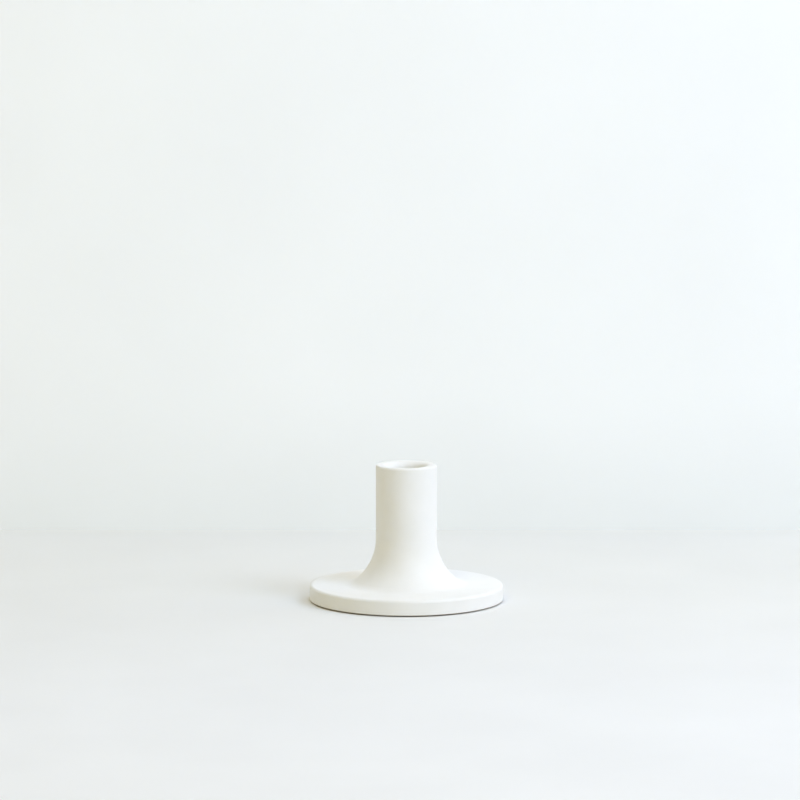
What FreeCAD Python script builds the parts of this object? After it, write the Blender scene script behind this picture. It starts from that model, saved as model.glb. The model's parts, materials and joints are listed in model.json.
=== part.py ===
import FreeCAD, Part
import math
import os
import Sketcher

# Candle holder: a round ceramic disc with a flared ceramic stem let into its top, standing on
# four soft pads. The stem's blind bore takes the candle. Millimetres, +Z up, origin on the
# table under the centre.

DIMENSIONS = {
    "total_height": 84.8,
    "base_radius": 60.0,
    "base_thickness": 9.5,
    "base_lift": 0.65,
    "top_rounding": 1.7,
    "bottom_rounding": 0.65,
    "foot_radius": 38.5,
    "seat_depth": 2.0,
    "hollow_radius": 53.5,
    "hollow_depth": 0.65,
    "stem_radius": 18.9,
    "socket_radius": 11.5,
    "socket_depth": 30.0,
    "mouth_rounding": 3.9,
    "lip_rounding": 1.3,
    "cove_radius": 33.9,
    "cove_height": 39.1,
    "pad_radius": 6.5,
    "pad_circle": 43.0,
    "pad_rounding": 0.4,
}
PAD_COUNT = 4
FIRST_PAD_ANGLE = 45.0

# Heights and sizes that follow from the sheet.
BASE_TOP = "(sizes.base_lift + sizes.base_thickness)"
SEAT_FLOOR = "(sizes.base_lift + sizes.base_thickness - sizes.seat_depth)"
PAD_THICKNESS = "(sizes.base_lift + sizes.hollow_depth)"
SOCKET_FLOOR = "(sizes.total_height - sizes.socket_depth)"

# Points of a sketched edge, and the sketch's own origin and upright axis.
START, END, CENTRE = 1, 2, 3
ORIGIN = (-1, 1)
AXIS = -2

doc = FreeCAD.newDocument("candle_holder")


def add_sheet():
    """The driving dimensions, one alias a row."""
    sheet = doc.addObject("Spreadsheet::Sheet", "sizes")
    for row, (name, value) in enumerate(DIMENSIONS.items(), start=1):
        sheet.set(f"A{row}", name)
        sheet.set(f"B{row}", str(value))
        sheet.setAlias(f"B{row}", name)
    doc.recompute()


def add_body(name):
    body = doc.addObject("PartDesign::Body", name)
    body.Label = name
    return body


def add_sketch(body, name, role, height=None):
    """A sketch on one of the body's origin planes, moved off it by a height if one is given."""
    sketch = body.newObject("Sketcher::SketchObject", name)
    plane = [item for item in body.Origin.OriginFeatures if item.Role == role][0]
    sketch.AttachmentSupport = [(plane, "")]
    sketch.MapMode = "FlatFace"
    if height:
        sketch.setExpression("AttachmentOffset.Base.z", height)
    return sketch


def add_size(sketch, name, constraint, expression):
    """A named constraint that follows the sheet."""
    index = sketch.addConstraint(constraint)
    sketch.renameConstraint(index, name)
    sketch.setExpression("Constraints." + name, expression)


def add_circle(body, name, radius, height=None):
    """A sketch of one circle about the body's axis."""
    sketch = add_sketch(body, name, "XY_Plane", height)
    circle = sketch.addGeometry(Part.Circle(), False)
    sketch.addConstraint(Sketcher.Constraint("Coincident", circle, CENTRE, *ORIGIN))
    add_size(sketch, "radius", Sketcher.Constraint("Radius", circle, 1.0), radius)
    doc.recompute()
    return sketch


def add_prism(body, kind, name, sketch, length, reverse=False):
    """A Pad or a Pocket of the sketch. A Pad grows upwards and a Pocket cuts downwards."""
    feature = body.newObject("PartDesign::" + kind, name)
    feature.Profile = sketch
    feature.Reversed = reverse
    feature.setExpression("Length", length)
    body.Tip = feature
    doc.recompute()
    return feature


def round_rim(body, name, base, radius, rim_radius, height):
    """Rounds the circular edge that has this radius and height."""
    edges = []
    for number, edge in enumerate(base.Shape.Edges, start=1):
        if not isinstance(edge.Curve, Part.Circle):
            continue
        same_radius = math.isclose(edge.Curve.Radius, rim_radius, abs_tol=1e-6)
        same_height = math.isclose(edge.Curve.Center.z, height, abs_tol=1e-6)
        if same_radius and same_height:
            edges.append(f"Edge{number}")
    feature = body.newObject("PartDesign::Fillet", name)
    feature.Base = (base, edges)
    feature.setExpression("Radius", radius)
    body.Tip = feature
    doc.recompute()
    return feature


def make_base_disc():
    """The slab, with a seat on top for the stem's foot and a hollow underneath for the pads."""
    size = DIMENSIONS
    bottom = size["base_lift"]
    top = bottom + size["base_thickness"]
    body = add_body("base_disc")
    outline = add_circle(body, "disc_outline", "sizes.base_radius", "sizes.base_lift")
    slab = add_prism(body, "Pad", "slab", outline, "sizes.base_thickness")
    seat_outline = add_circle(body, "seat_outline", "sizes.foot_radius", BASE_TOP)
    add_prism(body, "Pocket", "seat", seat_outline, "sizes.seat_depth")
    hollow_outline = add_circle(
        body, "hollow_outline", "sizes.hollow_radius", "sizes.base_lift"
    )
    hollow = add_prism(
        body, "Pocket", "hollow", hollow_outline, "sizes.hollow_depth", reverse=True
    )
    upper = round_rim(
        body, "upper_rim", hollow, "sizes.top_rounding", size["base_radius"], top
    )
    round_rim(
        body, "lower_rim", upper, "sizes.bottom_rounding", size["base_radius"], bottom
    )
    return body


def make_stem():
    """The column turned about its axis: socket, rounded mouth, lip, shaft, cove, toe and foot."""
    size = DIMENSIONS
    crown = size["total_height"]
    socket = size["socket_radius"]
    bed_height = crown - size["socket_depth"]
    rounding = size["mouth_rounding"]
    lip_radius = size["lip_rounding"]
    shaft = size["stem_radius"]
    foot = size["foot_radius"]
    top = size["base_lift"] + size["base_thickness"]
    floor = top - size["seat_depth"]
    cove = size["cove_radius"]
    cove_height = size["cove_height"]

    # The toe arc is tangent to the cove and to the disc's top, and ends over the foot's edge.
    rise = cove_height - top
    reach = shaft + cove - foot
    toe = (cove**2 - rise**2 - reach**2) / (2 * (cove - rise))
    meeting = math.atan2(rise - toe, reach)

    def point(radius, height):
        return FreeCAD.Vector(radius, height, 0)

    def arc(radius, height, size_of_arc, first, last):
        circle = Part.Circle(point(radius, height), FreeCAD.Vector(0, 0, 1), size_of_arc)
        return Part.ArcOfCircle(circle, first, last)

    body = add_body("stem")
    sketch = add_sketch(body, "stem_profile", "XZ_Plane")
    edges = [
        Part.LineSegment(point(0, floor), point(0, bed_height)),
        Part.LineSegment(point(0, bed_height), point(socket, bed_height)),
        Part.LineSegment(point(socket, bed_height), point(socket, crown - rounding)),
        arc(socket + rounding, crown - rounding, rounding, 0.5 * math.pi, math.pi),
        Part.LineSegment(point(socket + rounding, crown), point(shaft - lip_radius, crown)),
        arc(shaft - lip_radius, crown - lip_radius, lip_radius, 0, 0.5 * math.pi),
        Part.LineSegment(point(shaft, crown - lip_radius), point(shaft, cove_height)),
        arc(shaft + cove, cove_height, cove, math.pi, math.pi + meeting),
        arc(foot, top + toe, toe, math.pi + meeting, 1.5 * math.pi),
        Part.LineSegment(point(foot, top), point(foot, floor)),
        Part.LineSegment(point(foot, floor), point(0, floor)),
    ]
    geometry = sketch.addGeometry(edges, False)
    core, bed, wall, mouth, crest, lip, side, sweep, toe_arc, rim, sole = geometry
    joints = [
        ("Coincident", core, END, bed, START),
        ("Coincident", bed, END, wall, START),
        ("Tangent", wall, END, mouth, END),
        ("Tangent", mouth, START, crest, START),
        ("Tangent", crest, END, lip, END),
        ("Tangent", lip, START, side, START),
        ("Tangent", side, END, sweep, START),
        ("Tangent", sweep, END, toe_arc, START),
        ("Coincident", toe_arc, END, rim, START),
        ("Coincident", rim, END, sole, START),
        ("Coincident", sole, END, core, START),
        ("PointOnObject", core, START, AXIS),
        ("PointOnObject", core, END, AXIS),
        ("Vertical", toe_arc, CENTRE, toe_arc, END),
        ("Vertical", wall),
        ("Vertical", side),
        ("Vertical", rim),
        ("Horizontal", bed),
        ("Horizontal", crest),
        ("Horizontal", sole),
    ]
    for joint in joints:
        sketch.addConstraint(Sketcher.Constraint(*joint))

    def across(name, edge, position, value, expression):
        constraint = Sketcher.Constraint("DistanceX", *ORIGIN, edge, position, value)
        add_size(sketch, name, constraint, expression)

    def up(name, edge, position, value, expression):
        constraint = Sketcher.Constraint("DistanceY", *ORIGIN, edge, position, value)
        add_size(sketch, name, constraint, expression)

    def bend(name, edge, value, expression):
        add_size(sketch, name, Sketcher.Constraint("Radius", edge, value), expression)

    across("socket_radius", wall, START, socket, "sizes.socket_radius")
    across("shaft_radius", side, START, shaft, "sizes.stem_radius")
    across("foot_radius", rim, START, foot, "sizes.foot_radius")
    up("seat_floor", sole, START, floor, SEAT_FLOOR)
    up("disc_top", rim, START, top, BASE_TOP)
    up("cove_height", side, END, cove_height, "sizes.cove_height")
    up("socket_floor", wall, START, bed_height, SOCKET_FLOOR)
    up("crown", crest, START, crown, "sizes.total_height")
    bend("mouth_rounding", mouth, rounding, "sizes.mouth_rounding")
    bend("lip_rounding", lip, lip_radius, "sizes.lip_rounding")
    bend("cove_radius", sweep, cove, "sizes.cove_radius")
    doc.recompute()

    turned = body.newObject("PartDesign::Revolution", "turned_stem")
    turned.Profile = sketch
    turned.ReferenceAxis = (sketch, ["V_Axis"])
    turned.Angle = 360.0
    body.Tip = turned
    doc.recompute()
    return body


def make_foot_pad(number):
    """A flat dot with a rounded lower rim, set out on a circle under the disc."""
    body = add_body(f"foot_pad_{number}")
    outline = add_circle(body, f"pad_outline_{number}", "sizes.pad_radius")
    dot = add_prism(body, "Pad", f"dot_{number}", outline, PAD_THICKNESS)
    rim_radius = DIMENSIONS["pad_radius"]
    round_rim(body, f"pad_rim_{number}", dot, "sizes.pad_rounding", rim_radius, 0.0)
    angle = FIRST_PAD_ANGLE + 360.0 * (number - 1) / PAD_COUNT
    body.setExpression("Placement.Base.x", f"sizes.pad_circle * cos({angle} deg)")
    body.setExpression("Placement.Base.y", f"sizes.pad_circle * sin({angle} deg)")
    doc.recompute()
    return body


def check_and_write(bodies):
    """Stops on any failed object, then writes each body as parts/LABEL.step."""
    doc.recompute()
    for item in doc.Objects:
        if "Invalid" in item.State or "Error" in item.State:
            raise RuntimeError(f"{item.Name} failed to compute")
        if item.TypeId == "Sketcher::SketchObject" and item.solve() != 0:
            raise RuntimeError(f"{item.Name} is not solved")
    for body in bodies:
        if body.Shape.isNull() or not body.Shape.isValid() or len(body.Shape.Solids) != 1:
            raise RuntimeError(f"{body.Label} is not one valid solid")
    os.makedirs("parts", exist_ok=True)
    for body in bodies:
        body.Shape.exportStep(f"parts/{body.Label}.step")
        box = body.Shape.BoundBox
        print(
            f"{body.Label}: {body.Shape.Volume:.1f} mm3, "
            f"Z {box.ZMin:.3f} to {box.ZMax:.3f}, X {box.XMin:.3f} to {box.XMax:.3f}"
        )


add_sheet()
pieces = [make_base_disc(), make_stem()]
pieces += [make_foot_pad(number) for number in range(1, PAD_COUNT + 1)]
check_and_write(pieces)
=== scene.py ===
import json
import math

import bpy
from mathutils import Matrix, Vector

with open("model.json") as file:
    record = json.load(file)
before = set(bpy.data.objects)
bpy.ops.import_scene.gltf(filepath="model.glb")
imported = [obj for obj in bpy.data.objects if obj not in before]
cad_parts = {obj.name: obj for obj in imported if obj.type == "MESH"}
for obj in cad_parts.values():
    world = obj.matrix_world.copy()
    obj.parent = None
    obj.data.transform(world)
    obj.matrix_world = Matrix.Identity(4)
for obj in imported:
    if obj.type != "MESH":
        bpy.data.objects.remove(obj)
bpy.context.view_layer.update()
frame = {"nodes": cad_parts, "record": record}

# Metres, in the frame's own axes: +Z up, the object standing on Z = 0, seen from -Y.

# The eye looks slightly down at the object through a long lens.
EYE = Vector((-0.0040, -2.391, 0.4321))
LOOK_DOWN = math.radians(7.32)
SENSOR_WIDTH = 36.0
LENS = 175.9

# The table runs back to a wall close behind the object.
WALL_Y = 0.27
WALL_WIDTH = 1.6
WALL_HEIGHT = 1.05
FLOOR_REACH = 5.0

# Softboxes, all aimed at one point and equally far from it: name, bearing from -Y towards +X and
# elevation in degrees, size across, watts and colour.
LIGHT_TARGET = Vector((0.0, 0.0, 0.039))
LIGHT_DISTANCE = 2.61
LIGHTS = (
    ("window_front", 45.0, 40.0, 1.43, 14.3, (0.3, 0.62, 1.0)),
    ("window_low", 60.0, 25.0, 1.43, 11.5, (1.0, 0.88, 0.83)),
    ("window_high", 60.0, 40.0, 1.43, 26.0, (0.656, 0.758, 1.0)),
    ("window_back", 110.0, 40.0, 1.43, 9.5, (1.0, 0.715, 0.103)),
    ("ceiling", 0.0, 80.0, 1.57, 17.9, (0.44, 0.56, 1.0)),
    ("room_left", -30.0, 50.0, 1.57, 14.1, (1.0, 0.83, 0.21)),
)
ROOM_COLOUR = (0.28, 0.25, 0.17)
ROOM_STRENGTH = 1.0
WALL_GLOW_COLOUR = (0.98, 0.95, 1.0)
WALL_GLOW_STRENGTH = 0.14

# Each surface runs between two tones; for the floor and the wall the change between them is
# painted shade, darker towards the corner where they meet.
GLAZE_TONES = ((0.87, 0.86, 0.825), (0.9, 0.89, 0.86))
# The clay tones are dark partly as painted shade in the contact gap under the disc.
CLAY_AND_PAINTED_SHADE_TONES = ((0.43, 0.36, 0.27), (0.53, 0.45, 0.35))
SILICONE_TONES = ((0.58, 0.58, 0.55), (0.66, 0.66, 0.63))
FLOOR_PAINTED_SHADE_TONES = ((0.785, 0.778, 0.738), (0.85, 0.855, 0.86))
WALL_PAINTED_SHADE_TONES = ((0.762, 0.792, 0.786), (0.845, 0.868, 0.868))

# Where a backdrop's first, darker tone of painted shade ends and its second is reached, along Y
# and along Z.
FLOOR_PAINTED_SHADE_FADE = (0.2, -0.45)
WALL_PAINTED_SHADE_FADE = (-0.02, 0.11)

# The glaze stops at the disc's underside, whose hollow is no higher than this; the dark clay
# below it is partly painted shade for the contact gap under the disc.
CLAY_AND_PAINTED_SHADE_BELOW = 0.0014


def new_material(name):
    """A new material, its node tree and its shader."""
    material = bpy.data.materials.new(name)
    material.use_nodes = True
    tree = material.node_tree
    return material, tree, tree.nodes["Principled BSDF"]


def add_noise(tree, scale, detail):
    """Noise laid out in metres over the object, so it runs on across touching pieces."""
    place = tree.nodes.new("ShaderNodeTexCoord")
    noise = tree.nodes.new("ShaderNodeTexNoise")
    noise.inputs["Scale"].default_value = scale
    noise.inputs["Detail"].default_value = detail
    tree.links.new(place.outputs["Object"], noise.inputs["Vector"])
    return noise.outputs["Fac"]


def map_noise(tree, noise, lowest, highest):
    """Stretches the middle of a noise onto the range from lowest to highest."""
    span = tree.nodes.new("ShaderNodeMapRange")
    span.inputs["From Min"].default_value = 0.3
    span.inputs["From Max"].default_value = 0.7
    span.inputs["To Min"].default_value = lowest
    span.inputs["To Max"].default_value = highest
    tree.links.new(noise, span.inputs["Value"])
    return span.outputs["Result"]


def mix_colours(tree, factor, first, second):
    """A colour between two others, each an RGB value or another colour's output."""
    mix = tree.nodes.new("ShaderNodeMix")
    mix.data_type = "RGBA"
    tree.links.new(factor, mix.inputs[0])
    for socket, colour in ((mix.inputs[6], first), (mix.inputs[7], second)):
        if isinstance(colour, tuple):
            socket.default_value = (*colour, 1.0)
        else:
            tree.links.new(colour, socket)
    return mix.outputs[2]


def add_bump(tree, height, depth, strength, under=None):
    """Relief of the given depth in metres, on top of another relief if one is given."""
    bump = tree.nodes.new("ShaderNodeBump")
    bump.inputs["Distance"].default_value = depth
    bump.inputs["Strength"].default_value = strength
    tree.links.new(height, bump.inputs["Height"])
    if under:
        tree.links.new(under, bump.inputs["Normal"])
    return bump.outputs["Normal"]


def clay_and_painted_shade_mask(tree):
    """1 on downward faces near the ground, where the bare clay and the painted shade of the
    contact gap go, and 0 elsewhere.
    """
    shape = tree.nodes.new("ShaderNodeNewGeometry")
    place = tree.nodes.new("ShaderNodeTexCoord")
    height = tree.nodes.new("ShaderNodeSeparateXYZ")
    facing = tree.nodes.new("ShaderNodeSeparateXYZ")
    near = tree.nodes.new("ShaderNodeMath")
    downward = tree.nodes.new("ShaderNodeMath")
    both = tree.nodes.new("ShaderNodeMath")
    tree.links.new(place.outputs["Object"], height.inputs[0])
    tree.links.new(shape.outputs["Normal"], facing.inputs[0])
    near.operation = "LESS_THAN"
    near.inputs[1].default_value = CLAY_AND_PAINTED_SHADE_BELOW
    tree.links.new(height.outputs["Z"], near.inputs[0])
    downward.operation = "LESS_THAN"
    downward.inputs[1].default_value = -0.5
    tree.links.new(facing.outputs["Z"], downward.inputs[0])
    both.operation = "MULTIPLY"
    tree.links.new(near.outputs[0], both.inputs[0])
    tree.links.new(downward.outputs[0], both.inputs[1])
    return both.outputs[0]


def make_ceramic():
    """Matt white glaze over brown clay, which is left bare underneath and made dark there partly
    as painted shade of the contact gap.
    """
    material, tree, shader = new_material("matte_ceramic")
    clouds = add_noise(tree, 55.0, 3.0)
    grain = add_noise(tree, 900.0, 4.0)
    fine_grain = add_noise(tree, 3600.0, 2.0)
    mottle = map_noise(tree, clouds, 0.0, 1.0)
    glaze = mix_colours(tree, mottle, *GLAZE_TONES)
    clay_and_painted_shade = mix_colours(tree, grain, *CLAY_AND_PAINTED_SHADE_TONES)
    # Downward faces near the ground take the dark clay: bare clay, and painted shade of the
    # contact gap.
    colour = mix_colours(tree, clay_and_painted_shade_mask(tree), glaze, clay_and_painted_shade)
    tree.links.new(colour, shader.inputs["Base Color"])
    tree.links.new(map_noise(tree, grain, 0.52, 0.66), shader.inputs["Roughness"])
    shader.inputs["Specular IOR Level"].default_value = 0.35
    ripple = add_bump(tree, clouds, 0.0004, 0.15)
    skin = add_bump(tree, grain, 0.00005, 0.35, ripple)
    tree.links.new(add_bump(tree, fine_grain, 0.00002, 0.4, skin), shader.inputs["Normal"])
    return material


def make_silicone():
    """Milky soft silicone with a finely matted surface."""
    material, tree, shader = new_material("soft_silicone")
    clouds = add_noise(tree, 160.0, 2.0)
    grain = add_noise(tree, 2200.0, 3.0)
    colour = mix_colours(tree, clouds, *SILICONE_TONES)
    tree.links.new(colour, shader.inputs["Base Color"])
    tree.links.new(map_noise(tree, grain, 0.42, 0.58), shader.inputs["Roughness"])
    shader.inputs["Subsurface Weight"].default_value = 0.25
    shader.inputs["Subsurface Scale"].default_value = 0.001
    tree.links.new(add_bump(tree, grain, 0.00003, 0.4), shader.inputs["Normal"])
    return material


def make_plaster_and_painted_shade(name, axis, fade, tones):
    """Pale plaster or paint, faintly clouded, whose tone shifts along an axis: painted shade,
    darker towards the corner of floor and wall.
    """
    material, tree, shader = new_material(name)
    clouds = add_noise(tree, 7.0, 4.0)
    grain = add_noise(tree, 300.0, 3.0)
    place = tree.nodes.new("ShaderNodeTexCoord")
    along = tree.nodes.new("ShaderNodeSeparateXYZ")
    # The tone shift is painted shade, darker towards the corner of floor and wall.
    shift = tree.nodes.new("ShaderNodeMapRange")
    shift.interpolation_type = "SMOOTHSTEP"
    shift.inputs["From Min"].default_value = fade[0]
    shift.inputs["From Max"].default_value = fade[1]
    tree.links.new(place.outputs["Object"], along.inputs[0])
    tree.links.new(along.outputs[axis], shift.inputs["Value"])
    tone = mix_colours(tree, shift.outputs["Result"], *tones)
    clouded = tree.nodes.new("ShaderNodeHueSaturation")
    tree.links.new(map_noise(tree, clouds, 0.982, 1.018), clouded.inputs["Value"])
    tree.links.new(tone, clouded.inputs["Color"])
    tree.links.new(clouded.outputs["Color"], shader.inputs["Base Color"])
    tree.links.new(map_noise(tree, grain, 0.75, 0.9), shader.inputs["Roughness"])
    shader.inputs["Specular IOR Level"].default_value = 0.2
    return material


def hide_from_behind(material):
    """Lets a backdrop be seen, and cast, only from its front."""
    tree = material.node_tree
    shader = tree.nodes["Principled BSDF"]
    output = tree.nodes["Material Output"]
    shape = tree.nodes.new("ShaderNodeNewGeometry")
    clear = tree.nodes.new("ShaderNodeBsdfTransparent")
    mix = tree.nodes.new("ShaderNodeMixShader")
    tree.links.new(shape.outputs["Backfacing"], mix.inputs["Fac"])
    tree.links.new(shader.outputs["BSDF"], mix.inputs[1])
    tree.links.new(clear.outputs["BSDF"], mix.inputs[2])
    tree.links.new(mix.outputs["Shader"], output.inputs["Surface"])


def add_panel(name, corners, material):
    """A flat four-sided backdrop piece, facing the side its corners turn anticlockwise on."""
    mesh = bpy.data.meshes.new(name)
    mesh.from_pydata(corners, [], [(0, 1, 2, 3)])
    mesh.materials.append(material)
    panel = bpy.data.objects.new(name, mesh)
    bpy.context.scene.collection.objects.link(panel)
    return panel


def make_stage():
    """A pale table, and a pale wall behind it that glows faintly, both with painted shade darker
    towards the corner where they meet.
    """
    reach = FLOOR_REACH
    floor_corners = [
        (-reach, -reach, 0.0),
        (reach, -reach, 0.0),
        (reach, reach, 0.0),
        (-reach, reach, 0.0),
    ]
    # The floor's painted shade darkens it towards the wall.
    floor_paint_and_painted_shade = make_plaster_and_painted_shade("floor_paint_and_painted_shade", "Y", FLOOR_PAINTED_SHADE_FADE, FLOOR_PAINTED_SHADE_TONES)
    hide_from_behind(floor_paint_and_painted_shade)
    add_panel("floor", floor_corners, floor_paint_and_painted_shade)
    half = WALL_WIDTH / 2
    wall_corners = [
        (-half, WALL_Y, 0.0),
        (half, WALL_Y, 0.0),
        (half, WALL_Y, WALL_HEIGHT),
        (-half, WALL_Y, WALL_HEIGHT),
    ]
    # The wall's painted shade darkens it towards the floor.
    wall_paint_and_painted_shade = make_plaster_and_painted_shade("wall_paint_and_painted_shade", "Z", WALL_PAINTED_SHADE_FADE, WALL_PAINTED_SHADE_TONES)
    wall_shader = wall_paint_and_painted_shade.node_tree.nodes["Principled BSDF"]
    wall_shader.inputs["Emission Color"].default_value = (*WALL_GLOW_COLOUR, 1.0)
    wall_shader.inputs["Emission Strength"].default_value = WALL_GLOW_STRENGTH
    hide_from_behind(wall_paint_and_painted_shade)
    add_panel("wall", wall_corners, wall_paint_and_painted_shade)


def make_lights():
    """Softboxes aimed at the object, and an even glow from the room."""
    for name, bearing, elevation, across, watts, colour in LIGHTS:
        turn = math.radians(bearing)
        rise = math.radians(elevation)
        away = Vector(
            (math.sin(turn) * math.cos(rise), -math.cos(turn) * math.cos(rise), math.sin(rise))
        )
        lamp = bpy.data.lights.new(name, "AREA")
        lamp.shape = "SQUARE"
        lamp.size = across
        lamp.energy = watts
        lamp.color = colour
        softbox = bpy.data.objects.new(name, lamp)
        softbox.location = LIGHT_TARGET + away * LIGHT_DISTANCE
        softbox.rotation_euler = away.to_track_quat("Z", "Y").to_euler()
        bpy.context.scene.collection.objects.link(softbox)
    world = bpy.data.worlds.new("room")
    world.use_nodes = True
    glow = world.node_tree.nodes["Background"]
    glow.inputs["Color"].default_value = (*ROOM_COLOUR, 1.0)
    glow.inputs["Strength"].default_value = ROOM_STRENGTH
    bpy.context.scene.world = world
    bpy.context.scene.view_settings.view_transform = "Standard"


def make_camera():
    """A level camera at the eye, tipped down by its look-down angle."""
    lens = bpy.data.cameras.new("camera")
    lens.sensor_width = SENSOR_WIDTH
    lens.lens = LENS
    camera = bpy.data.objects.new("camera", lens)
    camera.location = EYE
    camera.rotation_euler = (math.pi / 2 - LOOK_DOWN, 0.0, 0.0)
    bpy.context.scene.collection.objects.link(camera)
    bpy.context.scene.camera = camera


def dress_nodes():
    """Gives each CAD node the material of its record slot."""
    materials = {"matte_ceramic": make_ceramic(), "soft_silicone": make_silicone()}
    for part in frame["record"]["subparts"]:
        node = frame["nodes"][part["node"]]
        node.data.materials.clear()
        node.data.materials.append(materials[part["material_slot"]])


make_camera()
dress_nodes()
make_stage()
make_lights()
